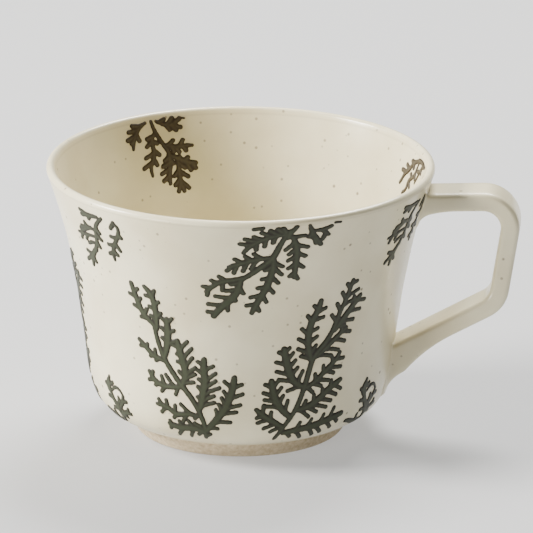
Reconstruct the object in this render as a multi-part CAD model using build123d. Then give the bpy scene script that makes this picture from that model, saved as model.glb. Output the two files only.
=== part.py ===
from build123d import *
import math
import os

# A glazed stoneware mug: a thrown cup, a strap handle luted on with slip, one coat of glaze,
# and plant sprigs of coloured clay laid on the glaze outside and inside.
# Millimetres. Z is up, the origin is the centre of the foot ring's underside,
# and the handle stands along +X.

# ---- driving dimensions --------------------------------------------------------------------
HEIGHT = 76.0             # foot to lip
RIM_RADIUS = 54.0         # outside of the lip, glazed
GLAZE = 0.35              # thickness of the glaze
SPRIG_RELIEF = 0.3        # how far a sprig stands off the glaze
SLIP = 0.8                # thickness of the slip between handle and wall

FOOT_BOTTOM_RADIUS = 29.2
GLAZE_LINE_RADIUS = 31.0  # where the bare foot ends and the glaze begins
GLAZE_LINE_HEIGHT = 4.2
WELL_RADIUS = 24.0        # recess inside the foot ring
WELL_DEPTH = 3.0
FLOOR_HEIGHT = 7.6        # inside floor, glazed
FOOT_EASE = 0.5           # rounding of the foot ring's two edges

STRAP_WIDTH = 12.0
STRAP_THICKNESS = 5.3
STRAP_EDGE_RADIUS = 1.8

OUTLINE_STEPS = 16        # points taken along an edge when its surface is moved

# ---- the cup's section, radius and height, up the outside and down the inside ---------------
OUTER_WALL = [
    (GLAZE_LINE_RADIUS, GLAZE_LINE_HEIGHT), (35.6, 6.2), (39.7, 9.9), (41.7, 15.0), (43.2, 25.0),
    (45.1, 39.0), (47.4, 51.5), (50.3, 63.5), (RIM_RADIUS - 0.06, HEIGHT - 1.63),
]
LIP_INNER = (RIM_RADIUS - 2.28, HEIGHT - 0.78)
INNER_WALL = [
    (47.7, 63.0), (44.5, 51.0), (42.0, 39.0), (40.0, 25.0), (37.8, 16.0),
    (32.8, 10.2), (24.0, 8.0), (0.0, FLOOR_HEIGHT),
]
MID_WALL = [
    (0.0, 6.2), (24.0, 6.4), (33.5, 8.4), (38.6, 14.0), (41.3, 25.0), (43.4, 39.0),
    (45.9, 51.5), (48.9, 63.5), (52.6, HEIGHT - 1.0), (52.6, HEIGHT + 3.0), (0.0, HEIGHT + 3.0),
]

# ---- the handle's middle line in the XZ plane, distance from the axis and height -------------
# It runs straight through the wall at both roots, with one smooth curve between.
UPPER_ROOT = [(44.5, 65.9), (55.0, 67.4)]
STRAP_CURVE = [
    (60.0, 68.0), (66.5, 67.9), (72.2, 65.3), (74.5, 59.5), (73.7, 52.0), (72.3, 45.0),
    (69.0, 39.6), (63.0, 35.3),
]
LOWER_ROOT = [(56.0, 31.3), (37.5, 18.0)]

# ---- sprigs ---------------------------------------------------------------------------------
# Each sprig is a list of fronds. A frond is its width and the points along its middle:
# distance round the wall from the sprig's root, measured at SPRIG_RADIUS, and height.
SPRIG_RADIUS = 45.0

TALL_LEFT = [
    (2.2, [(0.2, 9), (0.5, 12), (-0.5, 16), (-4, 22.5), (-9, 29), (-12.2, 36), (-13.3, 42)]),
    (3.0, [(-13.3, 42), (-17, 46), (-19.2, 53)]),
    (3.0, [(-13, 41), (-12.6, 47), (-15, 53)]),
    (3.4, [(-10.8, 33), (-9.5, 38), (-9.3, 44)]),
    (4.0, [(-5.8, 25.3), (-4.8, 29), (-6.3, 37.5)]),
    (4.0, [(-1, 18), (0.6, 24), (1, 32.5)]),
    (4.0, [(0.7, 11.5), (5, 16.5), (8, 22), (9.3, 27.5)]),
    (4.0, [(0, 11), (-7, 11.8), (-10.6, 11.5)]),
    (3.6, [(-1, 16), (-8.5, 16), (-14, 17.8)]),
    (3.6, [(-5.5, 24.8), (-11, 24), (-16, 27)]),
    (3.0, [(-10.5, 31.5), (-15.5, 33.5), (-18.5, 36)]),
]
TALL_RIGHT = [
    (2.2, [(0.5, 8.8), (4.5, 15), (7.8, 22), (10, 30), (13.5, 36), (17, 42), (19.5, 49), (21, 54)]),
    (3.0, [(16, 40), (22, 46), (25.5, 48)]),
    (4.0, [(10.3, 32), (8.8, 40), (11.3, 49.5)]),
    (3.0, [(11, 32.5), (17.5, 37.5), (21.8, 39.5)]),
    (3.6, [(9, 24), (15, 28), (19.7, 32)]),
    (4.0, [(6.5, 17.5), (13.5, 20), (20.5, 24)]),
    (4.0, [(3, 10.8), (12.5, 11.5), (22.5, 13.5)]),
    (4.0, [(7.8, 24.5), (4, 28.5), (1.8, 36)]),
    (4.0, [(4.5, 15.5), (0, 21), (-1.5, 26.5)]),
    (3.4, [(2.5, 12.5), (-3.5, 16.5), (-5.7, 18.2)]),
]
LOW_TUFT = [
    (3.0, [(0, 9.2), (-0.2, 11), (-1.5, 14), (-3, 16.5)]),
    (4.4, [(-3, 16.5), (-3.8, 19), (-3.5, 20)]),
    (2.4, [(0, 9.5), (2.5, 11), (5, 12)]),
    (2.2, [(0.6, 12), (2.3, 14.5), (3, 16.7)]),
    (2.0, [(3, 16.7), (1.5, 18.7), (-0.5, 19)]),
    (2.6, [(0, 9.4), (-4.5, 9.3), (-8, 10.2)]),
]
RIM_FAN = [
    (2.2, [(0.5, 73.2), (-1.5, 69), (-3.2, 65.5), (-6.5, 62), (-10.5, 59)]),
    (4.0, [(-10.8, 58.5), (-13.5, 53), (-17.5, 48)]),
    (3.4, [(-10.5, 59), (-15, 57.3), (-19.5, 55)]),
    (3.4, [(-3.5, 65.3), (-8.5, 64.5), (-13.5, 62.7)]),
    (3.6, [(-0.5, 71.5), (-6.5, 70.3), (-10.2, 67.8)]),
    (3.6, [(0, 71.5), (2.5, 66), (2.5, 59.5)]),
    (4.0, [(-3.2, 65.3), (-3.7, 59), (-7.8, 49.5)]),
]
RIM_SPRAY = [
    (2.4, [(0.5, 73), (-3.5, 69.5), (-5, 66.5), (-5.5, 64), (-7, 61.5)]),
    (4.4, [(-7.5, 60.5), (-9.5, 57.5)]),
    (2.4, [(-1, 72), (-9, 71.8)]),
    (2.4, [(-5, 67.5), (-8.5, 68), (-10.7, 66.7)]),
    (2.4, [(-5.5, 65.5), (-10, 64.6), (-13.2, 64.2)]),
    (3.0, [(0.8, 72.6), (3, 69.5), (1, 66), (0, 62), (-0.1, 60)]),
]
INNER_FAN = [
    (2.2, [(0, 73.5), (-0.8, 71.5), (-2.8, 67.5), (-3.8, 65)]),
    (3.0, [(-0.5, 73), (-4.5, 72.6), (-7, 72.8)]),
    (3.0, [(-3, 67.5), (-7.5, 66.8), (-10.3, 66.8)]),
    (3.4, [(-4, 65), (-7.5, 63), (-10.5, 61.8)]),
    (3.6, [(-5, 63.2), (-6.3, 58), (-7, 55.5)]),
    (3.6, [(-4, 64), (-3.5, 60), (-3.3, 57.7)]),
    (3.4, [(-0.3, 71), (0.5, 67.5), (1.8, 62.5), (1.9, 60.5)]),
    (3.0, [(0.3, 73), (4, 72.3), (6.5, 68.5)]),
]
INNER_SPRAY = [
    (2.0, [(0, 73.6), (3, 73.2), (6, 69)]),
    (2.4, [(2, 73.6), (8, 73.4), (10, 72.6), (13, 69.8), (16, 65.3)]),
    (2.2, [(7, 73), (11.3, 66.8), (12, 64.5)]),
]

# Where each sprig's root stands, as an angle about Z from the handle, in degrees.
# A design is shaped at its first angle and turned about the cup's axis to the others.
SPRIGS = {
    "tall_sprig_left": (TALL_LEFT, "outside", [-99.5, 31.0, 143.5]),
    "tall_sprig_right": (TALL_RIGHT, "outside", [-72.0, 56.0, 170.5]),
    "low_sprig": (LOW_TUFT, "outside", [-26.5, 104.5, -139.5]),
    "rim_sprig_fan": (RIM_FAN, "outside", [48.5, -71.0, 170.5]),
    "rim_sprig_spray": (RIM_SPRAY, "outside", [-15.0, -129.5, 107.5]),
    "inner_sprig_fan": (INNER_FAN, "inside", [124.5, -115.5]),
    "inner_sprig_spray": (INNER_SPRAY, "inside", [6.0]),
}


def turned(section):
    """Revolve a section drawn as radius and height about Z."""
    upright = Rot(90, 0, 0) * section
    return revolve(upright, Axis.Z, 360)


def moved_outwards(edge, distance):
    """A smooth copy of an edge, moved to the right of its direction."""
    points = []
    for step in range(OUTLINE_STEPS + 1):
        point = edge @ (step / OUTLINE_STEPS)
        along = edge % (step / OUTLINE_STEPS)
        points.append(point + Vector(along.Y, -along.X) * distance)
    return Spline(*points, tangents=[edge % 0, edge % 1])


def cup_section(outwards):
    """The glazed cup's section above the glaze line, its surfaces moved outwards."""
    surface = [moved_outwards(edge, outwards) for edge in cup_edges]
    start = surface[0] @ 0
    axis_line = Line(surface[-1] @ 1, (0, start.Y))
    base = Line((0, start.Y), start)
    return make_face([*surface, axis_line, base])


def layer(edges, low, high):
    """A thin layer all round the cup, between two distances outwards from its edges."""
    near = [moved_outwards(edge, low) for edge in edges]
    far = [moved_outwards(edge, high) for edge in edges]
    first = Line(near[0] @ 0, far[0] @ 0)
    last = Line(near[-1] @ 1, far[-1] @ 1)
    return turned(make_face([*near, last, *far, first]))


def foot_block():
    """The bare foot ring and the floor above its recess."""
    outline = Polyline(
        (0, WELL_DEPTH), (WELL_RADIUS, WELL_DEPTH), (WELL_RADIUS + 0.8, 0), (FOOT_BOTTOM_RADIUS, 0),
        (GLAZE_LINE_RADIUS, GLAZE_LINE_HEIGHT), (GLAZE_LINE_RADIUS, GLAZE_LINE_HEIGHT + 1.0),
        (0, GLAZE_LINE_HEIGHT + 1.0), close=True,
    )
    face = make_face(outline)
    ring_edges = [v for v in face.vertices() if v.Y < 0.01 and v.X > WELL_RADIUS]
    return fillet(ring_edges, FOOT_EASE)


def strap_section(skin):
    """The strap's section where its middle line starts, with a skin taken off all round."""
    across = Plane(origin=strap_path @ 0, z_dir=strap_path % 0, x_dir=(0, 1, 0))
    return across * RectangleRounded(
        STRAP_WIDTH - 2 * skin, STRAP_THICKNESS - 2 * skin, STRAP_EDGE_RADIUS - skin)


def wall_radius(height):
    """The outer wall's radius at a height, between the section's own points."""
    for (r0, z0), (r1, z1) in zip(OUTER_WALL, OUTER_WALL[1:]):
        if height <= z1:
            return r0 + (r1 - r0) * (height - z0) / (z1 - z0)
    return OUTER_WALL[-1][0]


def frond(points, width):
    """A round-ended ribbon along a few points."""
    ribbon = []
    for (x0, z0), (x1, z1) in zip(points, points[1:]):
        length = math.hypot(x1 - x0, z1 - z0)
        angle = math.degrees(math.atan2(z1 - z0, x1 - x0))
        middle = Pos((x0 + x1) / 2, (z0 + z1) / 2) * Rot(0, 0, angle)
        ribbon.append(middle * SlotCenterToCenter(length, width))
    return ribbon


def sprig(fronds, root_angle, shell):
    """A sprig's fronds pressed on to the wall, as thick as the relief shell."""
    places = [place for _, points in fronds for place, _ in points]
    middle = (min(places) + max(places)) / 2
    facing = math.radians(root_angle) + middle / SPRIG_RADIUS
    ribbons = []
    for width, points in fronds:
        flat = [(wall_radius(z) * math.sin((a - middle) / SPRIG_RADIUS), z) for a, z in points]
        ribbons += frond(flat, width)
    outline = ribbons[0].fuse(*ribbons[1:])
    wall_plane = Plane(
        origin=(0, 0, 0), x_dir=(-math.sin(facing), math.cos(facing), 0),
        z_dir=(math.cos(facing), math.sin(facing), 0),
    )
    prism = extrude(wall_plane.offset(RIM_RADIUS / 2) * outline, RIM_RADIUS)
    return prism & shell


# ---- the glazed cup's surface, in three smooth edges -----------------------------------------
outer_edge = Spline(*OUTER_WALL)
lip_edge = TangentArc(outer_edge @ 1, LIP_INNER, tangent=outer_edge % 1)
inner_edge = Spline(lip_edge @ 1, *INNER_WALL, tangents=[lip_edge % 1, (-1, 0)])
cup_edges = [outer_edge, lip_edge, inner_edge]

# ---- the handle's path --------------------------------------------------------------------------
upper_line = Line(*[(r, 0, z) for r, z in UPPER_ROOT])
lower_line = Line(*[(r, 0, z) for r, z in LOWER_ROOT])
strap_curve = Spline(
    upper_line @ 1, *[(r, 0, z) for r, z in STRAP_CURVE], lower_line @ 0,
    tangents=[upper_line % 1, lower_line % 0],
)
strap_path = Wire([upper_line.edge(), strap_curve.edge(), lower_line.edge()])

# ---- clay, slip and glaze -----------------------------------------------------------------------
core = turned(make_face(Polyline(*MID_WALL, close=True)))
cup_body = turned(cup_section(outwards=-GLAZE)) + turned(foot_block())
slip_layer = layer([outer_edge], -GLAZE, SLIP - GLAZE)
clay_strap = sweep(strap_section(GLAZE), path=strap_path) - (core + cup_body)
slip_pads = (clay_strap & slip_layer).solids().sort_by(Axis.Z)
cup_glaze = layer(cup_edges, -GLAZE, 0) - clay_strap
glaze_tube = sweep(strap_section(0) - strap_section(GLAZE), path=strap_path)
handle_glaze = glaze_tube - (core + turned(cup_section(outwards=0)))
well_glaze = Pos(0, 0, WELL_DEPTH - GLAZE) * Cylinder(
    WELL_RADIUS, GLAZE, align=(Align.CENTER, Align.CENTER, Align.MIN))

shells = {
    "outside": layer([outer_edge], 0, SPRIG_RELIEF),
    "inside": layer([inner_edge], 0, SPRIG_RELIEF),
}

parts = {
    "cup_body": cup_body,
    "handle": clay_strap - slip_layer,
    "lower_slip_joint": slip_pads[0],
    "upper_slip_joint": slip_pads[-1],
    "cup_glaze": cup_glaze,
    "handle_glaze": handle_glaze,
    "well_glaze": well_glaze,
}
for design, (fronds, side, root_angles) in SPRIGS.items():
    first_sprig = sprig(fronds, root_angles[0], shells[side]).solid()
    for number, root_angle in enumerate(root_angles, start=1):
        parts[f"{design}_{number}"] = Rot(0, 0, root_angle - root_angles[0]) * first_sprig

os.makedirs("parts", exist_ok=True)
for name, part in parts.items():
    export_step(part.solid(), f"parts/{name}.step")
    print(name, len(part.solids()), round(part.volume, 1))
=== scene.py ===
import math

import bpy
import numpy as np
from mathutils import Matrix, Vector


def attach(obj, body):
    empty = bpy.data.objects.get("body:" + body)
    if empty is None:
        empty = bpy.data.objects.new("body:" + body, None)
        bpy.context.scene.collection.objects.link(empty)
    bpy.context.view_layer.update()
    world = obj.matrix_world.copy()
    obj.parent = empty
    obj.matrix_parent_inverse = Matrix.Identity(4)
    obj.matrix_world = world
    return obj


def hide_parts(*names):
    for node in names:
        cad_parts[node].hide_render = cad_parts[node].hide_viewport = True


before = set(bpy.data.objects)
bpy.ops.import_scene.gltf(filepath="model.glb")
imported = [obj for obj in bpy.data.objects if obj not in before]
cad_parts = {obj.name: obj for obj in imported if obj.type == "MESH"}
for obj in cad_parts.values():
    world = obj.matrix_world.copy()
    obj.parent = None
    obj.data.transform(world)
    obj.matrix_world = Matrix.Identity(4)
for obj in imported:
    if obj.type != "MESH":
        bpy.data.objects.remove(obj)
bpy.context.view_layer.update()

# ---- sizes, in millimetres, as the frame has them ------------------------------------------
MM = 0.001
HEIGHT = 76.6
RIM_RADIUS = 54.0
FOOT_RADIUS = 29.2
WELL_RADIUS = 24.0
WELL_DEPTH = 3.0
FLOOR_HEIGHT = 7.6
GLAZE = 0.35
GLAZE_LINE = (31.0, 4.2)
SPRIG_RADIUS = 45.0       # radius at which the sprigs' drawings are measured
SPRIG_RELIEF = 0.22
SPRIG_STEP = 0.22         # grid of the sprigs' meshes
SPRIG_SUNK = 0.13         # how far a sprig's back lies inside the wall
AROUND = 288              # points round the cup

OUTER_WALL = [
    GLAZE_LINE, (35.6, 6.2), (39.7, 9.9), (41.7, 15.0), (43.2, 25.0),
    (45.1, 39.0), (47.4, 51.5), (50.3, 63.5), (RIM_RADIUS - 0.06, HEIGHT - 1.63),
]
LIP_RADIUS = 1.19
INNER_WALL = [
    (47.7, 63.0), (44.5, 51.0), (42.0, 39.0), (40.0, 25.0), (37.8, 16.0),
    (32.8, 10.2), (24.0, 8.0), (0.0, FLOOR_HEIGHT),
]
STRAP_CORNERS = [(44.5, 67.4), (76.7, 68.7), (72.1, 39.1), (37.5, 20.0)]
STRAP_BEND = 7.5
STRAP_WIDTH = 12.0
STRAP_THICKNESS = 5.3
STRAP_EDGE = 1.55
STRAP_SIDE_BULGE = 0.036
STRAP_LENGTH = 97.0
# The strap thickens towards its roots: by how much, from where along it, and over what length.
UPPER_ROOT = (1.3, 7.0, 9.0)
LOWER_ROOT = (3.4, 90.0, 17.0)
# The fillets at the roots: at the strap's sides, and how much more on the thickened face.
UPPER_FILLET = (0.7, 3.0)
LOWER_FILLET = (0.8, 4.5)

# ---- the camera: far off, a little above, the handle turned slightly towards it --------------
CAMERA_DISTANCE = 2000.0
CAMERA_ELEVATION = math.radians(18.4)
CAMERA_TURN = math.radians(4.5)
CAMERA_ROLL = math.radians(0.148)
CAMERA_LENS = 483.3
LOOK_AT = Vector((0, 0, 38))
SLIDE_RIGHT = 7.27        # the camera's shift from LOOK_AT, in its own plane
SLIDE_UP = 7.65


def make_camera():
    right = Vector((math.cos(CAMERA_TURN), math.sin(CAMERA_TURN), 0))
    level = Vector((-math.sin(CAMERA_TURN), math.cos(CAMERA_TURN), 0))
    forward = level * math.cos(CAMERA_ELEVATION) - Vector((0, 0, math.sin(CAMERA_ELEVATION)))
    up = right.cross(forward)
    place = LOOK_AT + right * SLIDE_RIGHT + up * SLIDE_UP - forward * CAMERA_DISTANCE
    rolled_right = right * math.cos(CAMERA_ROLL) + up * math.sin(CAMERA_ROLL)
    rolled_up = up * math.cos(CAMERA_ROLL) - right * math.sin(CAMERA_ROLL)
    camera = bpy.data.objects.new("camera", bpy.data.cameras.new("camera"))
    camera.data.lens = CAMERA_LENS
    camera.data.sensor_width = 36
    camera.data.clip_start = 0.1
    camera.data.clip_end = 20
    turn = Matrix((rolled_right, rolled_up, -forward)).transposed().to_4x4()
    camera.matrix_world = Matrix.Translation(place * MM) @ turn
    bpy.context.scene.collection.objects.link(camera)
    bpy.context.scene.camera = camera


make_camera()


# ---- curves ----------------------------------------------------------------------------------
def smooth_curve(points, samples, start=None, end=None):
    """A cubic spline through points, spaced by chord length, with optional end directions."""
    p = np.array(points, float)
    knots = np.concatenate([[0], np.cumsum(np.linalg.norm(np.diff(p, axis=0), axis=1))])
    h = np.diff(knots)
    n = len(p)
    rows = np.zeros((n, n))
    rhs = np.zeros_like(p)
    slopes = np.diff(p, axis=0) / h[:, None]
    for i in range(1, n - 1):
        rows[i, i - 1:i + 2] = h[i], 2 * (h[i - 1] + h[i]), h[i - 1]
        rhs[i] = 3 * (h[i] * slopes[i - 1] + h[i - 1] * slopes[i])
    if start is None:
        rows[0, :2] = 2, 1
        rhs[0] = 3 * slopes[0]
    else:
        rows[0, 0] = 1
        rhs[0] = start
    if end is None:
        rows[-1, -2:] = 1, 2
        rhs[-1] = 3 * slopes[-1]
    else:
        rows[-1, -1] = 1
        rhs[-1] = end
    d = np.linalg.solve(rows, rhs)
    u = np.linspace(0, knots[-1], samples)
    i = np.clip(np.searchsorted(knots, u, side="right") - 1, 0, n - 2)
    t = ((u - knots[i]) / h[i])[:, None]
    span = h[i][:, None]
    return (p[i] * (1 + 2 * t) * (1 - t) ** 2 + p[i + 1] * t * t * (3 - 2 * t)
            + d[i] * span * t * (1 - t) ** 2 - d[i + 1] * span * t * t * (1 - t))


def bent_line(corners, radius, spacing):
    """Straight runs between corners, with an arc of one radius at each inner corner."""
    corners = [np.array(c, float) for c in corners]
    path = [corners[0]]
    for before, corner, after in zip(corners, corners[1:], corners[2:]):
        come = (before - corner) / np.linalg.norm(before - corner)
        go = (after - corner) / np.linalg.norm(after - corner)
        half = math.acos(come @ go) / 2
        reach = radius / math.tan(half)
        middle = corner + (come + go) / np.linalg.norm(come + go) * radius / math.sin(half)
        start = corner + come * reach - middle
        end = corner + go * reach - middle
        sweep = math.pi - 2 * half
        for share in np.linspace(0, 1, 24):
            path.append(middle + (start * math.sin(sweep * (1 - share))
                                  + end * math.sin(sweep * share)) / math.sin(sweep))
    path = np.array(path + [corners[-1]])
    step = np.concatenate([[0], np.cumsum(np.linalg.norm(np.diff(path, axis=0), axis=1))])
    even = np.linspace(0, step[-1], int(step[-1] / spacing))
    return np.column_stack([np.interp(even, step, path[:, k]) for k in range(2)])


def directions(curve):
    """Unit tangents along a sampled curve."""
    along = np.gradient(curve, axis=0)
    return along / np.linalg.norm(along, axis=1)[:, None]


def moved_out(curve, distance):
    """A sampled section moved to the right of its direction."""
    along = directions(curve)
    return curve + np.column_stack([along[:, 1], -along[:, 0]]) * distance


# ---- the cup's glazed section ------------------------------------------------------------------
outer = smooth_curve(OUTER_WALL, 110)
rise = directions(outer)[-1]
lip_centre = outer[-1] + np.array([-rise[1], rise[0]]) * LIP_RADIUS
lip_start = math.atan2(-rise[0], rise[1])
lip_angles = np.linspace(lip_start, lip_start + math.pi, 15)
lip = lip_centre + LIP_RADIUS * np.column_stack([np.cos(lip_angles), np.sin(lip_angles)])
inner = smooth_curve([tuple(lip[-1]), *INNER_WALL], 120, start=-rise, end=(-1, 0))
glazed_section = np.vstack([outer, lip[1:-1], inner])


def unevenness(theta, z):
    """How far the hand-thrown wall strays from round, in millimetres."""
    return (0.07 * np.sin(2 * theta + 0.7 + 0.03 * z) + 0.05 * np.sin(3 * theta - 1.1 + 0.05 * z)
            + 0.035 * np.sin(0.42 * z + 1.3 * np.sin(theta)) + 0.02 * np.sin(5 * theta + 0.11 * z))


def wall_radius(theta, z, section=outer):
    """The glazed wall's radius at an angle and a height, outside or inside."""
    order = np.argsort(section[:, 1])
    radius = np.interp(z, section[order, 1], section[order, 0])
    return radius + unevenness(theta, z)


# Above the floor's curve, where a height has one radius.
inner_wall = inner[inner[:, 1] > 12]


def wall_point(theta, z, lift, inside=False):
    """A point on the wall, lifted off it by a distance."""
    section = inner_wall if inside else outer
    slope = (wall_radius(theta, z + 0.25, section) - wall_radius(theta, z - 0.25, section)) / 0.5
    away = lift / np.sqrt(1 + slope ** 2) * (-1 if inside else 1)
    radius = wall_radius(theta, z, section) + away
    return np.stack([radius * np.cos(theta), radius * np.sin(theta), z - slope * away], axis=-1)


# ---- meshes ------------------------------------------------------------------------------------
def make_piece(name, points, faces):
    mesh = bpy.data.meshes.new(name)
    mesh.from_pydata((np.asarray(points) * MM).tolist(), [], faces)
    mesh.validate()
    mesh.polygons.foreach_set("use_smooth", [True] * len(mesh.polygons))
    piece = bpy.data.objects.new(name, mesh)
    bpy.context.scene.collection.objects.link(piece)
    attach(piece, "root")
    return piece


def turned(section):
    """Points and faces of a closed section turned about the axis; its ends lie on the axis."""
    theta = np.linspace(0, 2 * math.pi, AROUND, endpoint=False)
    rings = section[1:-1]
    radius = rings[:, :1] + unevenness(theta, rings[:, 1:]) * (rings[:, :1] > 20)
    points = np.stack([radius * np.cos(theta), radius * np.sin(theta),
                       np.repeat(rings[:, 1:], AROUND, axis=1)], axis=-1).reshape(-1, 3)
    faces = []
    for ring in range(len(rings) - 1):
        for k in range(AROUND):
            after = (k + 1) % AROUND
            faces.append((ring * AROUND + k, ring * AROUND + after,
                          (ring + 1) * AROUND + after, (ring + 1) * AROUND + k))
    first = len(points)
    ends = [(0, 0, section[0, 1]), (0, 0, section[-1, 1])]
    last_ring = (len(rings) - 1) * AROUND
    for k in range(AROUND):
        after = (k + 1) % AROUND
        faces.append((first, after, k))
        faces.append((first + 1, last_ring + k, last_ring + after))
    return np.vstack([points, ends]), faces


def joined(*shells):
    """Several point and face lists as one."""
    points = []
    faces = []
    for shell_points, shell_faces in shells:
        start = sum(len(p) for p in points)
        points.append(shell_points)
        faces += [tuple(i + start for i in face) for face in shell_faces]
    return np.vstack(points), faces


def glaze_shell():
    """The glaze as a closed skin: its outer face, a rolled end above the foot, and its clay side."""
    clay_side = moved_out(glazed_section, -GLAZE)
    end_middle = (glazed_section[0] + clay_side[0]) / 2
    away = directions(glazed_section)[0]
    end_angles = np.linspace(0, math.pi, 7)[1:-1]
    side = (glazed_section[0] - clay_side[0]) / 2
    rolled = [end_middle + side * math.cos(a) - away * GLAZE / 2 * math.sin(a) for a in end_angles]
    section = np.vstack([glazed_section[::-1], rolled, clay_side[::2], clay_side[-1:]])
    section[0, 0] = section[-1, 0] = 0
    return turned(section)


# ---- the handle ----------------------------------------------------------------------------------
def strap_contour(count=56):
    """Points round the strap's section, across and through, and their outward directions."""
    half = np.array([STRAP_WIDTH / 2 - STRAP_EDGE, STRAP_THICKNESS / 2 - STRAP_EDGE])
    angles = np.linspace(0, 2 * math.pi, count, endpoint=False) + math.pi / count
    out = np.column_stack([np.cos(angles), np.sin(angles)])
    corner = np.clip(out * 4.0, -1, 1) * half
    bulge = (1 - np.abs(corner / half) ** 2).min(axis=1)[:, None]
    return corner + out * (STRAP_EDGE + bulge * STRAP_SIDE_BULGE), out


def root_growth(along, root, side):
    """How much one face of the strap thickens near a root; side is -1 at its start, 1 at its end."""
    most, place, length = root
    return most * np.clip(1 - side * (place - along) / length, 0, 1) ** 2


def strap_lines(contour):
    """Lines along the strap from inside the wall at one root to inside it at the other."""
    path = bent_line(STRAP_CORNERS, STRAP_BEND, 0.4)
    tangent = directions(path)
    through = np.column_stack([-tangent[:, 1], tangent[:, 0]])
    along = np.linspace(0, 1, len(path))[:, None] * STRAP_LENGTH
    height = contour[None, :, 1]
    share = height / contour[:, 1].max()
    height = height + np.maximum(0, share) * root_growth(along, LOWER_ROOT, 1)
    height = height - np.maximum(0, -share) * root_growth(along, UPPER_ROOT, -1)
    lines = np.stack([
        path[:, None, 0] + through[:, None, 0] * height,
        np.broadcast_to(contour[None, :, 0], (len(path), len(contour))),
        path[:, None, 1] + through[:, None, 1] * height,
    ], axis=-1)
    return lines, through


def root_fillet(start, corner, outward, size, skin):
    """Points that leave a line along the strap at start and bend on to the wall at corner."""
    spot = math.atan2(corner[1], corner[0])
    normal = np.array([math.cos(spot), math.sin(spot), -0.18])
    normal /= np.linalg.norm(normal)
    outward = outward - normal * outward.dot(normal)
    foot = corner + outward / np.linalg.norm(outward) * size
    for share in np.linspace(0, 1, 12)[1:-1]:
        yield start * (1 - share) ** 2 + corner * 2 * share * (1 - share) + foot * share ** 2
    theta = math.atan2(foot[1], foot[0])
    for sink in (0.02, 0.52):
        radius = wall_radius(theta, foot[2]) - sink - skin
        yield np.array([radius * math.cos(theta), radius * math.sin(theta), foot[2]])


def handle_shell(skin=0.0):
    """The strap as a closed shell whose ends spread on to the wall like pressed clay."""
    contour, out = strap_contour()
    lines, through = strap_lines(contour - out * skin)
    theta = np.arctan2(lines[..., 1], lines[..., 0])
    clearance = np.hypot(lines[..., 0], lines[..., 1]) - (wall_radius(theta, lines[..., 2]) - skin)
    rings = []
    for j, (across, facing) in enumerate(out):
        line = lines[:, j]
        outside = np.nonzero(clearance[:, j] > 0)[0]
        step = np.concatenate([[0], np.cumsum(np.linalg.norm(np.diff(line, axis=0), axis=1))])

        def at(distance):
            return np.array([np.interp(distance, step, line[:, k]) for k in range(3)])

        ends = []
        starts = []
        for inside, beyond, towards, (least, more) in (
                (outside[0] - 1, outside[0], 1, UPPER_FILLET),
                (outside[-1] + 1, outside[-1], -1, LOWER_FILLET)):
            a, b = clearance[inside, j], clearance[beyond, j]
            hit = step[inside] + (step[beyond] - step[inside]) * (-a) / (b - a)
            size = least + more * max(0, -towards * facing) ** 1.5
            index = min(np.searchsorted(step, hit), len(line) - 1)
            outward = np.array([through[index, 0] * facing, across, through[index, 1] * facing])
            starts.append(hit + towards * size)
            ends.append(list(root_fillet(at(starts[-1]), at(hit), outward, size, skin)))
        free = [at(d) for d in np.linspace(starts[0], starts[1], 110)]
        rings.append(np.array(ends[0][::-1] + free + ends[1]))
    grid = np.array(rings)
    count, length = grid.shape[:2]
    faces = []
    for j in range(count):
        after = (j + 1) % count
        for i in range(length - 1):
            faces.append((j * length + i, j * length + i + 1,
                          after * length + i + 1, after * length + i))
    caps = [grid[:, 0].mean(axis=0), grid[:, -1].mean(axis=0)]
    first = count * length
    for j in range(count):
        after = (j + 1) % count
        faces.append((first, j * length, after * length))
        faces.append((first + 1, after * length + length - 1, j * length + length - 1))
    return np.vstack([grid.reshape(-1, 3), caps]), faces


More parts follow.
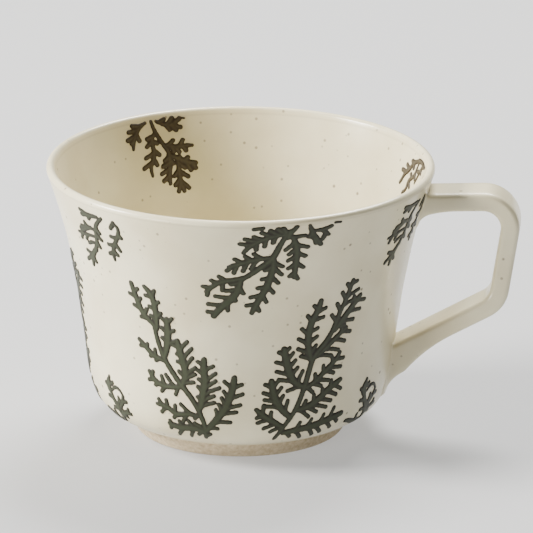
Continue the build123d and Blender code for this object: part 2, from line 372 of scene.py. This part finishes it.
# ---- sprigs ------------------------------------------------------------------------------------
# Each design has the place of its root and its fronds. A frond is its half-width, the points
# along its middle, and the tips of its lobes: distance round the wall, then height.
TALL_LEFT = (-11.0, [
    (1.02, [(-10.8, 9), (-10.5, 12), (-11.5, 16), (-12.5, 18.5), (-15, 22.5), (-17.5, 25.5),
            (-20, 29), (-22, 32.5), (-23.2, 36), (-24, 39.5), (-24.3, 42)],
     [(-13.6, 13.5), (-9.2, 10.3), (-8.8, 12.6)]),
    (1.12, [(-24.3, 42), (-26, 43.5), (-28, 46), (-29, 49), (-29.8, 52), (-30.2, 53.8)],
     [(-28.3, 43.8), (-30.2, 47), (-31.2, 50.3), (-27.8, 49.5), (-28.4, 52.3), (-26.2, 46.5)]),
    (1.12, [(-23.6, 41), (-23.4, 44.5), (-23.5, 47), (-23.8, 50), (-24.5, 51.8), (-26, 53.5)],
     [(-22, 46), (-25.2, 47.6), (-22.3, 49.4), (-26, 50.8), (-23.2, 52.7), (-25, 44.8)]),
    (1.30, [(-21.8, 33), (-20.5, 38), (-20.3, 41), (-20.3, 44.5)],
     [(-22, 38.6), (-18.6, 38), (-22, 41.6), (-18.5, 41.3), (-21.7, 44.6), (-18.8, 44.8)]),
    (1.30, [(-16.8, 25.3), (-15.8, 28), (-16, 31), (-16.8, 34.5), (-17.6, 38.3)],
     [(-13.5, 26.2), (-13, 28.6), (-12.8, 30.6), (-13.5, 33.5), (-13.6, 36.3), (-14.8, 38.3),
      (-17.6, 29), (-17.8, 32), (-17.9, 34.3), (-19.2, 37)]),
    (1.30, [(-12, 18), (-11, 21), (-10.5, 24), (-10, 27), (-10.2, 30), (-10, 33.5)],
     [(-7.6, 20.5), (-7.6, 22.5), (-6, 25), (-7, 27), (-7, 29.3), (-7.6, 31.5), (-12.2, 22),
      (-12, 25), (-11.7, 27.3), (-11.9, 30), (-11.8, 32.6)]),
    (1.30, [(-10.3, 11.5), (-8, 14), (-6, 16.5), (-4, 19.5), (-3, 22), (-2, 25), (-1.5, 28.3)],
     [(-6.8, 12.4), (-3, 14.6), (-1.2, 17.8), (0, 20), (0.7, 23.3), (0.5, 26.2), (-7, 18.3),
      (-6, 20), (-5.2, 22), (-4.5, 24), (-4.3, 27)]),
    (1.30, [(-11, 11), (-14, 12), (-18, 11.7), (-22, 12.3)],
     [(-15.5, 14), (-18.6, 13.6), (-21.8, 13.3), (-22, 11), (-19.5, 9.3), (-15.5, 9.2), (-12.8, 10)]),
    (1.02, [(-12, 16), (-16, 16.3), (-19.5, 16), (-22, 17.5), (-25.5, 18)],
     [(-17.5, 19), (-19.5, 18.4), (-22.3, 19.6), (-24.8, 19.5), (-13.5, 15.2), (-17.3, 13.8),
      (-20.2, 14.7), (-24.2, 15.8)]),
    (1.02, [(-16.5, 24.8), (-19, 24.2), (-22, 24), (-25, 24.7), (-27.5, 27.5)],
     [(-21.8, 27.3), (-23.3, 26.7), (-26.2, 27.6), (-19, 22), (-23.5, 22.3), (-25.5, 23.8),
      (-27.6, 25)]),
    (1.02, [(-21.5, 31.5), (-24, 32.2), (-26.5, 33.5), (-28, 35), (-30, 36.7)],
     [(-24.8, 34.5), (-27.2, 35.7), (-24.8, 31.3), (-26.5, 32.3), (-29.6, 34.8)]),
])
TALL_RIGHT = (10.5, [
    (1.02, [(11, 8.5), (13, 12), (15, 15), (17, 18.5), (18.3, 22), (19.5, 26), (20.5, 30),
            (21.5, 33), (24, 36), (26.5, 39.5), (27.5, 42), (28.5, 45), (30, 49), (31.5, 54.5)],
     [(28.5, 51.2), (27.3, 48), (26, 44.8), (33.8, 51), (33.3, 48.3), (29.8, 53.6), (32.9, 53.8)]),
    (1.25, [(27.5, 40), (30, 43), (32.5, 46), (35, 49)],
     [(36.8, 47.3), (35.5, 44.7), (33.5, 42), (30.6, 40.9), (32.8, 49)]),
    (1.25, [(20.8, 32), (19.5, 36), (19.3, 40), (20, 44), (21.3, 47), (22, 50)],
     [(17.5, 33.7), (16.5, 36), (16.5, 39), (17.2, 42), (18.6, 45.8), (20.2, 48.7), (21.7, 36.3),
      (21.8, 39), (21.8, 41.6), (23.2, 44.8), (23.6, 47.5)]),
    (1.02, [(21.5, 32.5), (25, 35), (28, 37.5), (31.5, 40)],
     [(27, 32.4), (29.3, 33.7), (31.3, 36), (33, 38.5), (30, 40)]),
    (1.02, [(19.5, 24), (22.5, 25.5), (25.5, 28), (28.5, 30.5), (30.2, 32.7)],
     [(22.3, 27.5), (24.8, 29.6), (27.6, 31.7), (21.7, 22.3), (24.3, 23.8), (26.8, 25),
      (28.5, 26.9), (30.8, 28.3), (31.6, 30.8)]),
    (1.25, [(17, 17.5), (20, 18), (24, 20), (27.5, 22.5), (31.3, 24.3)],
     [(19.7, 19.9), (22.3, 21.2), (25, 22.6), (28, 24.6), (21, 14.9), (23.5, 16), (26.7, 16.9),
      (28.2, 18.6), (30, 20.1), (31.6, 21.6)]),
    (1.40, [(13.5, 10.5), (18, 11), (23, 11.5), (28, 12.5), (33.5, 13.5)],
     [(18.5, 13.2), (22.3, 13.7), (26.5, 14.5), (30, 15.9), (16, 8.8), (20, 7.9), (24.3, 8.2),
      (27, 8.7), (30.3, 9.7), (32.4, 11.2)]),
    (1.35, [(18.3, 24.5), (16, 26), (14.5, 28.5), (13.3, 32), (12.3, 36.5)],
     [(14, 23.7), (11.3, 27.2), (10.6, 29.7), (10.3, 32.6), (10.9, 35.6), (18.2, 29), (16.5, 30.3),
      (15.7, 32.6), (14.9, 34.9), (13.8, 36.6)]),
    (1.30, [(15, 15.5), (12.5, 18), (10.5, 21), (9.5, 24), (9, 27)],
     [(7, 19.5), (7.2, 21.4), (6.9, 23.5), (7.3, 26), (14, 20.5), (12.5, 22.2), (11.9, 24.7),
      (10.9, 26.8)]),
    (1.12, [(13, 12.5), (10, 14.5), (7, 16.5), (4.8, 18.5)],
     [(5, 16), (5.4, 14.4), (7.3, 12.5), (9.4, 11.3), (7, 19.6), (9.2, 17.4)]),
])
LOW_TUFT = (46.5, [
    (1.15, [(46.5, 9), (46.2, 11), (45.3, 13.3), (43.8, 15.5), (43.3, 17)],
     [(41.8, 15.3), (43.3, 12.1), (47.8, 12.1), (46.8, 15)]),
    (1.45, [(43.3, 17), (42.6, 18.6), (43, 20)], [(41.2, 19), (45, 20), (43.5, 21.3)]),
    (0.95, [(46.6, 9.8), (48.3, 11.5), (50, 12), (51.6, 12)], [(49, 10.4), (50.6, 13.2)]),
    (0.85, [(46.8, 12.5), (47.9, 14), (48.6, 14.6), (49, 15.8), (49.6, 17.1)],
     [(47, 15.9), (50.6, 15.6)]),
    (0.72, [(49.6, 17.1), (48.6, 18.4), (47.2, 19), (45.4, 18.6), (44.5, 17.8)], []),
    (1.00, [(45.5, 8.7), (43.5, 8.5), (41, 9.1), (38.5, 10)], [(37.2, 10.2), (42.3, 10.8)]),
])
RIM_FAN = (11.5, [
    (1.20, [(11.5, 71.3), (11.8, 73.2)], [(13.2, 74.4), (10.2, 74.2)]),
    (1.02, [(11, 72), (9.5, 68.5), (8.3, 65.5), (5, 62), (2, 59.5), (0.5, 58.5)], []),
    (1.25, [(0.3, 58), (-1, 54), (-3, 51.5), (-5, 49.5), (-6.8, 47)],
     [(-2, 57), (-3.3, 55), (-6, 53.2), (-8, 50.7), (-8.3, 48.3), (1, 54.3), (-1, 52), (-3, 49)]),
    (0.92, [(1.5, 59.3), (-2, 58.3), (-5, 57.5), (-7, 56), (-8.5, 54.5)],
     [(-5, 59.3), (-7, 58), (-9.2, 56), (-4.3, 55.2), (-8.3, 53.5)]),
    (0.92, [(8, 65.3), (5.5, 65), (3, 64.5), (0, 63.5), (-2.5, 62.5)],
     [(3.6, 66.5), (1.5, 65.8), (-1, 64.9), (3, 62), (1, 61.3), (-1.3, 60.7), (-3, 61.3)]),
    (0.92, [(11, 72.3), (8, 72), (5, 70.8), (2.5, 69), (1, 67)],
     [(9, 74.2), (7.3, 73.8), (5.3, 73.2), (3.5, 72), (1.5, 71.3), (0.3, 69.8), (8, 70), (6, 69),
      (4, 68)]),
    (1.02, [(12.5, 71.5), (13.5, 69), (14, 66), (14, 62), (14, 58.5)],
     [(15.3, 71.5), (16.5, 67.8), (16.2, 65), (16, 61.5), (14.9, 58), (11.2, 67.5), (12.1, 66),
      (12.1, 64), (12.3, 61.5), (12.8, 59)]),
    (1.12, [(8.3, 65), (8.3, 62), (7.8, 59), (6.5, 55), (5, 52), (3.3, 48.2)],
     [(6.5, 61.3), (5.8, 58.5), (4.8, 55.8), (3, 53), (2, 50.5), (10.6, 62.3), (10.5, 59.8),
      (9.8, 57.2), (8.7, 54.3), (7, 51.5), (5.2, 48.8)]),
    (1.02, [(3.4, 74.4), (5.4, 74.7)], []),
    (0.78, [(16.4, 74.6), (17, 73), (17.5, 70.6)], [(18.6, 68.8), (19.8, 68.3), (16.6, 71)]),
    (0.72, [(17.3, 72.8), (19.5, 72.6), (21.7, 70.8)], [(21.8, 73.4), (20.2, 69.8)]),
    (0.72, [(22.8, 74.4), (24.2, 74.3)], []),
])
RIM_SPRAY = (-34.5, [
    (0.85, [(-36, 72), (-37.5, 70.5), (-39, 68.5), (-39.6, 66.5), (-40, 64), (-40.8, 62),
            (-42.3, 59.8), (-43.6, 57.6), (-44.2, 56)],
     [(-38, 66.9), (-38, 64.8), (-39.3, 62.2)]),
    (1.20, [(-42.3, 60.2), (-44.5, 57.4)],
     [(-45.8, 59.3), (-46.5, 56.6), (-44.3, 55.6), (-41.2, 60.8), (-42.6, 56.8)]),
    (0.72, [(-39.8, 67.2), (-41.5, 67.6), (-43.2, 67.5)],
     [(-43.4, 68.6), (-45.3, 66.9), (-45, 65.9)]),
    (0.72, [(-40, 65), (-42, 65), (-44, 64.7), (-46, 64.6), (-48, 64.3)],
     [(-47, 62.9), (-44.6, 63.2), (-46.2, 65.9)]),
    (0.72, [(-41, 63), (-42.5, 62.8), (-44, 62)], []),
    (0.92, [(-37.6, 72), (-40, 71.7), (-42, 71.6)], [(-43.7, 72.4), (-43.5, 71), (-41, 70.5)]),
    (0.78, [(-32.2, 71.8), (-31.1, 70.3), (-31.2, 68.8), (-32, 67), (-32.7, 65.8), (-33.6, 64.2),
            (-34.4, 62), (-34.5, 59.6)],
     [(-33.4, 69.8), (-30.7, 67.4), (-33.9, 67), (-35.4, 64.2), (-31.9, 63.2), (-35.8, 61.3),
      (-33.1, 61.5)]),
])
INNER_FAN = (165.0, [
    (0.75, [(165, 74.6), (164.8, 73.6), (164.2, 71.5), (163.3, 69.5), (162.2, 67.5), (161.2, 65.5),
            (161.2, 63.5), (161.5, 61), (162, 59)], [(162.5, 63.5), (160.2, 62.5)]),
    (0.75, [(163.6, 74.4), (162.3, 73.6), (160.5, 72.9), (158.5, 72.9)],
     [(161.5, 74.6), (159.3, 74.6), (157.5, 74.1), (157.3, 72), (158.5, 71.4), (160.2, 71.7)]),
    (0.75, [(161.6, 67.6), (159.5, 67), (157.5, 66.8), (156, 66.9), (154.5, 66.8)],
     [(159.7, 68.6), (157, 68.4), (156.3, 65.6), (158.2, 65.4), (159.7, 65.7)]),
    (0.92, [(161.3, 65), (159.5, 64), (157.5, 63), (155.5, 62.2), (153.8, 62)],
     [(154, 60.6), (155.4, 60.2), (158.3, 64), (156, 63.6)]),
    (0.84, [(158.8, 63.4), (158.8, 60), (158.7, 58), (158.5, 56)],
     [(157, 61), (156.4, 58.5), (156.4, 55.4), (157.8, 54.7), (159.4, 54.7), (160.2, 56.5),
      (160.2, 59)]),
    (0.84, [(161, 63), (161.3, 61), (161.7, 59.5), (161.7, 57)],
     [(163.2, 62), (163.8, 60), (163.5, 58)]),
    (0.75, [(164.7, 71), (165.5, 69.5), (165.5, 67.5), (165.5, 66), (166, 64), (166.8, 62.5),
            (166.8, 59.8)],
     [(166.8, 70), (167.2, 68), (168, 65), (169, 62.3), (164.2, 68.5), (164, 65.3), (165, 62.7)]),
    (0.75, [(166.6, 74.4), (168, 73.8), (169.5, 72.3), (170.5, 71), (171.5, 68)],
     [(169.2, 70), (171.7, 69.6), (172.7, 70.7), (171.9, 72.8), (170.5, 74.2)]),
    (0.57, [(156, 74.3), (157.4, 74.7)], []),
])
INNER_SPRAY = (72.0, [
    (0.72, [(72.3, 74.4), (74, 73.9), (76, 72.9), (76.7, 71.3), (77.5, 69.5), (78.3, 68)],
     [(75, 71.9), (78.2, 71.3)]),
    (0.78, [(74, 74.3), (76, 74.2), (78, 74.1), (80.5, 73.8)], []),
    (0.85, [(78.5, 73.9), (82, 72.8), (84, 71), (85, 69.5), (86.5, 68.3), (87.5, 66.5), (88.3, 65)],
     [(84.5, 72.3), (86.8, 70.5), (88.5, 68.6), (82.3, 71)]),
    (0.78, [(79.6, 72.8), (80, 70.5), (81.5, 68.3), (83.3, 66.8), (83.5, 65), (85.5, 63)],
     [(79.3, 69), (82.9, 69), (81.7, 65.8)]),
])

# The design, whether it's inside, and the angles of its root about Z from the handle.
SPRIGS = {
    "tall_sprig_left": (TALL_LEFT, False, [-99.5, 31.0, 143.5]),
    "tall_sprig_right": (TALL_RIGHT, False, [-72.0, 56.0, 170.5]),
    "low_sprig": (LOW_TUFT, False, [-26.5, 104.5, -139.5]),
    "rim_sprig_fan": (RIM_FAN, False, [48.5, -71.0, 170.5]),
    "rim_sprig_spray": (RIM_SPRAY, False, [-15.0, -129.5, 107.5]),
    "inner_sprig_fan": (INNER_FAN, True, [124.5, -115.5]),
    "inner_sprig_spray": (INNER_SPRAY, True, [6.0]),
}
STROKE_LENGTH = 0.7               # a frond is drawn as straight strokes of about this length
FROND_TAPER = (0.72, 0.20)        # half-width at a frond's ends, and what it gains in the middle
LOBE_RADIUS = 0.78
LOBE_NECK = 0.85                  # share of LOBE_RADIUS where a lobe leaves its frond
LOBE_LEAN = 0.9                   # how far back towards the root a lobe starts, by its length
LOBE_REACH = 1.04                 # how far it is drawn, as a share of the way to its tip
LOBE_BEND = 0.12                  # how far its middle is pulled to the frond
EDGE_SOFTNESS = 0.11              # how softly strokes run into each other
EDGE_INSET = 0.10                 # how much the soft outline is drawn in
EDGE_WAVER = 0.05                 # how much the outline wavers


def frond_strokes(half_width, middle, lobes):
    """A frond as short straight strokes: start, end and half-width."""
    middle = np.array(middle, float)
    length = np.linalg.norm(np.diff(middle, axis=0), axis=1).sum()
    if len(middle) > 2:
        middle = smooth_curve(middle, max(6, int(length / STROKE_LENGTH)))
    step = np.concatenate([[0], np.cumsum(np.linalg.norm(np.diff(middle, axis=0), axis=1))])
    strokes = []
    ends, gain = FROND_TAPER
    for a, b, share in zip(middle, middle[1:], step / step[-1]):
        strokes.append((a, b, half_width * (ends + gain * math.sin(math.pi * share))))
    for tip in lobes:
        tip = np.array(tip, float)
        gaps = np.linalg.norm(middle - tip, axis=1)
        nearest = gaps.argmin()
        back = max(0.0, step[nearest] - LOBE_LEAN * gaps[nearest])
        base = np.array([np.interp(back, step, middle[:, k]) for k in range(2)])
        pulled = base + (tip - base) * LOBE_REACH
        bend = (base + pulled) / 2 + LOBE_BEND * (middle[nearest] - base)
        strokes.append((base, bend, LOBE_RADIUS * LOBE_NECK))
        strokes.append((bend, pulled, LOBE_RADIUS))
    return strokes


def sprig_field(design):
    """The signed distance to a sprig's outline on a grid, negative inside."""
    root, fronds = design
    strokes = []
    for frond in fronds:
        strokes += frond_strokes(*frond)
    ends = np.array([end for stroke in strokes for end in stroke[:2]])
    low = ends.min(axis=0) - 2
    high = ends.max(axis=0) + 2
    across = np.arange(low[0], high[0], SPRIG_STEP)
    height = np.arange(low[1], high[1], SPRIG_STEP)
    grid = np.stack(np.meshgrid(across, height, indexing="ij"), axis=-1)
    total = np.zeros(grid.shape[:2])
    for a, b, radius in strokes:
        run = b - a
        share = np.clip(((grid - a) @ run) / max(run @ run, 1e-6), 0, 1)
        gap = np.linalg.norm(grid - a - share[..., None] * run, axis=-1) - radius
        total += np.exp(-np.clip(gap, -6, 6) / EDGE_SOFTNESS)
    field = EDGE_INSET - EDGE_SOFTNESS * np.log(total)
    x, z = grid[..., 0], grid[..., 1]
    field += EDGE_WAVER * np.sin(3.3 * x + 1.9 * z) * np.sin(2.7 * z - 1.3 * x)
    return grid - np.array([root, 0]), field


def sprig_outline_mesh(design):
    """The sprig's flat mesh: points, their depth inside the outline, faces and border edges."""
    grid, field = sprig_field(design)
    inside = field < 0
    number = {}
    points = []
    depth = []

    def corner(i, j):
        if (i, j) not in number:
            number[i, j] = len(points)
            points.append(grid[i, j])
            depth.append(-field[i, j])
        return number[i, j]

    def crossing(i, j, k, l):
        key = (min((i, j), (k, l)), max((i, j), (k, l)))
        if key not in number:
            share = field[i, j] / (field[i, j] - field[k, l])
            share = min(0.95, max(0.05, share))
            number[key] = len(points)
            points.append(grid[i, j] + (grid[k, l] - grid[i, j]) * share)
            depth.append(0.0)
        return number[key]

    faces = []
    border = []
    touched = inside[:-1, :-1] | inside[1:, :-1] | inside[:-1, 1:] | inside[1:, 1:]
    for i, j in zip(*np.nonzero(touched)):
        square = [(i, j), (i + 1, j), (i + 1, j + 1), (i, j + 1)]
        states = [bool(inside[c]) for c in square]
        if all(states):
            faces.append(tuple(corner(*c) for c in square))
            continue
        if states in ([True, False, True, False], [False, True, False, True]):
            start = states.index(True)
            for n in (start, start + 2):
                here, before, after = square[n % 4], square[(n - 1) % 4], square[(n + 1) % 4]
                leave = crossing(*here, *after)
                enter = crossing(*here, *before)
                faces.append((corner(*here), leave, enter))
                border.append((leave, enter))
            continue
        loop = []
        leave = enter = None
        for n in range(4):
            here, after = square[n], square[(n + 1) % 4]
            if states[n]:
                loop.append(corner(*here))
            if states[n] != states[(n + 1) % 4]:
                cross = crossing(*here, *after)
                loop.append(cross)
                if states[n]:
                    leave = cross
                else:
                    enter = cross
        faces.append(tuple(loop))
        border.append((leave, enter))
    return np.array(points), np.array(depth), faces, border


def sprig_heights(depth):
    """How far a sprig stands off the wall, domed from its outline inwards."""
    share = np.clip(depth / 0.5, 0, 1)
    return SPRIG_RELIEF * np.sqrt(1 - (1 - share) ** 2)


def make_sprig(name, flat_mesh, inside, root_angle):
    flat, depth, faces, border = flat_mesh
    theta = math.radians(root_angle) + flat[:, 0] / SPRIG_RADIUS
    top = wall_point(theta, flat[:, 1], sprig_heights(depth) + 0.01, inside)
    under = wall_point(theta, flat[:, 1], np.full(len(flat), -SPRIG_SUNK), inside)
    count = len(flat)
    all_faces = list(faces)
    all_faces += [tuple(i + count for i in reversed(face)) for face in faces]
    all_faces += [(b, a, a + count, b + count) for a, b in border]
    if inside:
        all_faces = [tuple(reversed(face)) for face in all_faces]
    piece = make_piece(name, np.vstack([top, under]), all_faces)
    shade = piece.data.attributes.new("from_edge", "FLOAT", "POINT")
    edge_share = np.clip(np.concatenate([depth, depth]) / 0.95, 0, 1)
    shade.data.foreach_set("value", edge_share.astype(np.float32))
    return piece


# ---- materials -----------------------------------------------------------------------------------
def new_material(name):
    material = bpy.data.materials.new(name)
    material.use_nodes = True
    nodes = material.node_tree.nodes
    return material, nodes, material.node_tree.links, nodes["Principled BSDF"]


# Iron specks in the glaze: cell density, radius, share of cells that have one, and strength.
SPECKS = [(150, 0.10, 0.55, 0.80), (260, 0.15, 0.30, 0.60), (420, 0.20, 0.14, 0.50)]
# Darker brown bands in the glaze by height, a thin line just under the lip and the glaze thinning over
# the clay above its edge at the foot: height, reach on both sides, strength and colour.
BROWN_BANDS = [
    (HEIGHT - 1.7, 0.45, 0.16, (0.30, 0.24, 0.15, 1)),
    (4.7, 0.9, 0.35, (0.50, 0.40, 0.24, 1)),
]


def glaze_material():
    material, nodes, links, shader = new_material("cream_glaze")
    coords = nodes.new("ShaderNodeTexCoord")
    mottle = nodes.new("ShaderNodeTexNoise")
    mottle.inputs["Scale"].default_value = 45
    mottle.inputs["Detail"].default_value = 4
    links.new(coords.outputs["Object"], mottle.inputs["Vector"])
    tint = nodes.new("ShaderNodeValToRGB")
    tint.color_ramp.elements[0].position = 0.35
    tint.color_ramp.elements[0].color = (0.665, 0.590, 0.385, 1)
    tint.color_ramp.elements[1].position = 0.65
    tint.color_ramp.elements[1].color = (0.760, 0.700, 0.490, 1)
    links.new(mottle.outputs["Fac"], tint.inputs["Fac"])
    colour = tint.outputs["Color"]
    for scale, radius, share, strength in SPECKS:
        cells = nodes.new("ShaderNodeTexVoronoi")
        cells.inputs["Scale"].default_value = scale
        links.new(coords.outputs["Object"], cells.inputs["Vector"])
        near = nodes.new("ShaderNodeMapRange")
        near.interpolation_type = "SMOOTHSTEP"
        near.inputs["From Min"].default_value = radius
        near.inputs["From Max"].default_value = radius * 0.4
        near.inputs["To Min"].default_value = 0
        near.inputs["To Max"].default_value = strength
        links.new(cells.outputs["Distance"], near.inputs["Value"])
        split = nodes.new("ShaderNodeSeparateColor")
        links.new(cells.outputs["Color"], split.inputs["Color"])
        chosen = nodes.new("ShaderNodeMath")
        chosen.operation = "LESS_THAN"
        chosen.inputs[1].default_value = share
        links.new(split.outputs["Red"], chosen.inputs[0])
        spot = nodes.new("ShaderNodeMath")
        spot.operation = "MULTIPLY"
        links.new(near.outputs["Result"], spot.inputs[0])
        links.new(chosen.outputs[0], spot.inputs[1])
        mixed = nodes.new("ShaderNodeMix")
        mixed.data_type = "RGBA"
        mixed.inputs["B"].default_value = (0.16, 0.12, 0.075, 1)
        links.new(spot.outputs[0], mixed.inputs["Factor"])
        links.new(colour, mixed.inputs["A"])
        colour = mixed.outputs["Result"]
    place = nodes.new("ShaderNodeSeparateXYZ")
    links.new(coords.outputs["Object"], place.inputs[0])
    # A brown band at each listed height; the one just under the lip is a thin darker line.
    for height, reach, strength, shade in BROWN_BANDS:
        away = nodes.new("ShaderNodeMath")
        away.operation = "SUBTRACT"
        away.inputs[1].default_value = height * MM
        links.new(place.outputs["Z"], away.inputs[0])
        gap = nodes.new("ShaderNodeMath")
        gap.operation = "ABSOLUTE"
        links.new(away.outputs[0], gap.inputs[0])
        band = nodes.new("ShaderNodeMapRange")
        band.interpolation_type = "SMOOTHSTEP"
        band.inputs["From Min"].default_value = reach * MM
        band.inputs["From Max"].default_value = 0.1 * MM
        band.inputs["To Min"].default_value = 0
        band.inputs["To Max"].default_value = strength
        links.new(gap.outputs[0], band.inputs["Value"])
        banded = nodes.new("ShaderNodeMix")
        banded.data_type = "RGBA"
        banded.inputs["B"].default_value = shade
        links.new(band.outputs["Result"], banded.inputs["Factor"])
        links.new(colour, banded.inputs["A"])
        colour = banded.outputs["Result"]
    links.new(colour, shader.inputs["Base Color"])
    shader.inputs["Roughness"].default_value = 0.26
    shader.inputs["Specular IOR Level"].default_value = 0.5
    ripple = nodes.new("ShaderNodeTexNoise")
    ripple.inputs["Scale"].default_value = 160
    ripple.inputs["Detail"].default_value = 3
    links.new(coords.outputs["Object"], ripple.inputs["Vector"])
    bump = nodes.new("ShaderNodeBump")
    bump.inputs["Strength"].default_value = 0.2
    bump.inputs["Distance"].default_value = 0.0004
    links.new(ripple.outputs["Fac"], bump.inputs["Height"])
    links.new(bump.outputs["Normal"], shader.inputs["Normal"])
    return material


def stoneware_material():
    material, nodes, links, shader = new_material("bare_stoneware")
    coords = nodes.new("ShaderNodeTexCoord")
    grain = nodes.new("ShaderNodeTexNoise")
    grain.inputs["Scale"].default_value = 900
    grain.inputs["Detail"].default_value = 6
    links.new(coords.outputs["Object"], grain.inputs["Vector"])
    tint = nodes.new("ShaderNodeValToRGB")
    tint.color_ramp.elements[0].position = 0.3
    tint.color_ramp.elements[0].color = (0.40, 0.31, 0.19, 1)
    tint.color_ramp.elements[1].position = 0.7
    tint.color_ramp.elements[1].color = (0.60, 0.50, 0.33, 1)
    links.new(grain.outputs["Fac"], tint.inputs["Fac"])
    links.new(tint.outputs["Color"], shader.inputs["Base Color"])
    shader.inputs["Roughness"].default_value = 0.85
    bump = nodes.new("ShaderNodeBump")
    bump.inputs["Strength"].default_value = 0.5
    bump.inputs["Distance"].default_value = 0.0002
    links.new(grain.outputs["Fac"], bump.inputs["Height"])
    links.new(bump.outputs["Normal"], shader.inputs["Normal"])
    return material


def sprig_material(name, edge, middle):
    material, nodes, links, shader = new_material(name)
    coords = nodes.new("ShaderNodeTexCoord")
    depth = nodes.new("ShaderNodeAttribute")
    depth.attribute_name = "from_edge"
    cloud = nodes.new("ShaderNodeTexNoise")
    cloud.inputs["Scale"].default_value = 260
    cloud.inputs["Detail"].default_value = 3
    links.new(coords.outputs["Object"], cloud.inputs["Vector"])
    shifted = nodes.new("ShaderNodeMath")
    shifted.operation = "MULTIPLY_ADD"
    shifted.inputs[1].default_value = 0.5
    links.new(cloud.outputs["Fac"], shifted.inputs[0])
    links.new(depth.outputs["Fac"], shifted.inputs[2])
    tint = nodes.new("ShaderNodeValToRGB")
    tint.color_ramp.elements[0].position = 0.35
    tint.color_ramp.elements[0].color = edge
    tint.color_ramp.elements[1].position = 1.0
    tint.color_ramp.elements[1].color = middle
    links.new(shifted.outputs[0], tint.inputs["Fac"])
    links.new(tint.outputs["Color"], shader.inputs["Base Color"])
    shader.inputs["Roughness"].default_value = 0.5
    shader.inputs["Specular IOR Level"].default_value = 0.3
    return material


def floor_material():
    material, _, _, shader = new_material("pale_floor")
    shader.inputs["Base Color"].default_value = (0.33, 0.33, 0.328, 1)
    shader.inputs["Emission Color"].default_value = (1.0, 1.0, 0.99, 1)
    shader.inputs["Emission Strength"].default_value = 0.45
    shader.inputs["Roughness"].default_value = 0.9
    return material


cream = glaze_material()
bare = stoneware_material()
leaf = sprig_material("sprig_green", (0.012, 0.010, 0.004, 1), (0.034, 0.040, 0.020, 1))
brown_leaf = sprig_material("sprig_brown", (0.026, 0.016, 0.007, 1), (0.070, 0.056, 0.032, 1))


# ---- the cup and handle pieces ---------------------------------------------------------------------
def dress(piece, material, slot, *nodes):
    piece.data.materials.clear()
    piece.data.materials.append(material)
    if nodes:
        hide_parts(*nodes)
    return piece


def foot_section():
    """The clay's section: the floor's underside, the foot ring, and the wall under the glaze."""
    clay = moved_out(glazed_section, -GLAZE - 0.01)[::3]
    foot = np.array([
        (0, WELL_DEPTH), (WELL_RADIUS - 1.5, WELL_DEPTH), (WELL_RADIUS - 0.5, WELL_DEPTH - 0.2),
        (WELL_RADIUS, WELL_DEPTH - 0.8), (WELL_RADIUS + 0.6, 0.7), (WELL_RADIUS + 0.85, 0.2),
        (WELL_RADIUS + 1.35, 0.0), (FOOT_RADIUS - 0.75, 0.0), (FOOT_RADIUS - 0.2, 0.15),
        (FOOT_RADIUS + 0.12, 0.6), (GLAZE_LINE[0] - 0.9, 2.4), (GLAZE_LINE[0] - 0.35, 3.5),
        (GLAZE_LINE[0] - 0.15, GLAZE_LINE[1] - 0.1),
    ])
    section = np.vstack([foot, clay])
    section[-1, 0] = 0
    return section[::-1]


glaze_points, glaze_faces = joined(glaze_shell(), handle_shell())
dress(make_piece("glaze", glaze_points, glaze_faces), cream, "cream_glaze", "cup_glaze", "handle_glaze")
dress(make_piece("clay_cup", *turned(foot_section())), bare, "bare_stoneware", "cup_body")
dress(make_piece("clay_handle", *handle_shell(GLAZE)), bare, "bare_stoneware", "handle")
# These CAD nodes keep their shape and get a real finish.
for node, material in (("well_glaze", cream), ("lower_slip_joint", bare), ("upper_slip_joint", bare)):
    for node_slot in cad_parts[node].material_slots:
        node_slot.material = material


for design_name, (design, inside_cup, root_angles) in SPRIGS.items():
    shape = sprig_outline_mesh(design)
    for order, root_angle in enumerate(root_angles, start=1):
        sprig_name = f"{design_name}_{order}"
        sprig = make_sprig(f"lobed_{sprig_name}", shape, inside_cup, root_angle)
        dress(sprig, brown_leaf if inside_cup else leaf, "sprig_colour", sprig_name)


# ---- light and floor ---------------------------------------------------------------------------------
def area_light(name, place, target, size, power, colour=(1, 1, 1)):
    light = bpy.data.lights.new(name, "AREA")
    light.shape = "DISK"
    light.size = size
    light.energy = power
    light.color = colour
    lamp = bpy.data.objects.new(name, light)
    lamp.location = place
    lamp.rotation_mode = "QUATERNION"
    lamp.rotation_quaternion = (Vector(target) - Vector(place)).to_track_quat("-Z", "Y")
    bpy.context.scene.collection.objects.link(lamp)


def make_studio():
    floor = bpy.data.objects.new("floor", bpy.data.meshes.new("floor"))
    half = 3.0
    floor.data.from_pydata(
        [(-half, -half, 0), (half, -half, 0), (half, half, 0), (-half, half, 0)], [], [(0, 1, 2, 3)])
    floor.data.materials.append(floor_material())
    bpy.context.scene.collection.objects.link(floor)
    world = bpy.data.worlds.new("studio")
    world.use_nodes = True
    world.node_tree.nodes["Background"].inputs["Color"].default_value = (1.0, 1.0, 1.0, 1)
    world.node_tree.nodes["Background"].inputs["Strength"].default_value = 0.10
    bpy.context.scene.world = world
    area_light("key", (-0.98, -0.16, 0.62), (0, 0, 0.04), 0.45, 46.0, (1.0, 0.98, 0.945))
    area_light("front_fill", (-0.82, -0.88, 0.12), (0, 0, 0.04), 0.3, 9.5, (1.0, 0.98, 0.945))
    area_light("top", (-0.1, 0.5, 1.2), (0, 0, 0), 1.0, 0.7)
    area_light("handle_top", (0.15, 0.6, 0.9), (0.06, 0, 0.07), 0.5, 26.0)


make_studio()
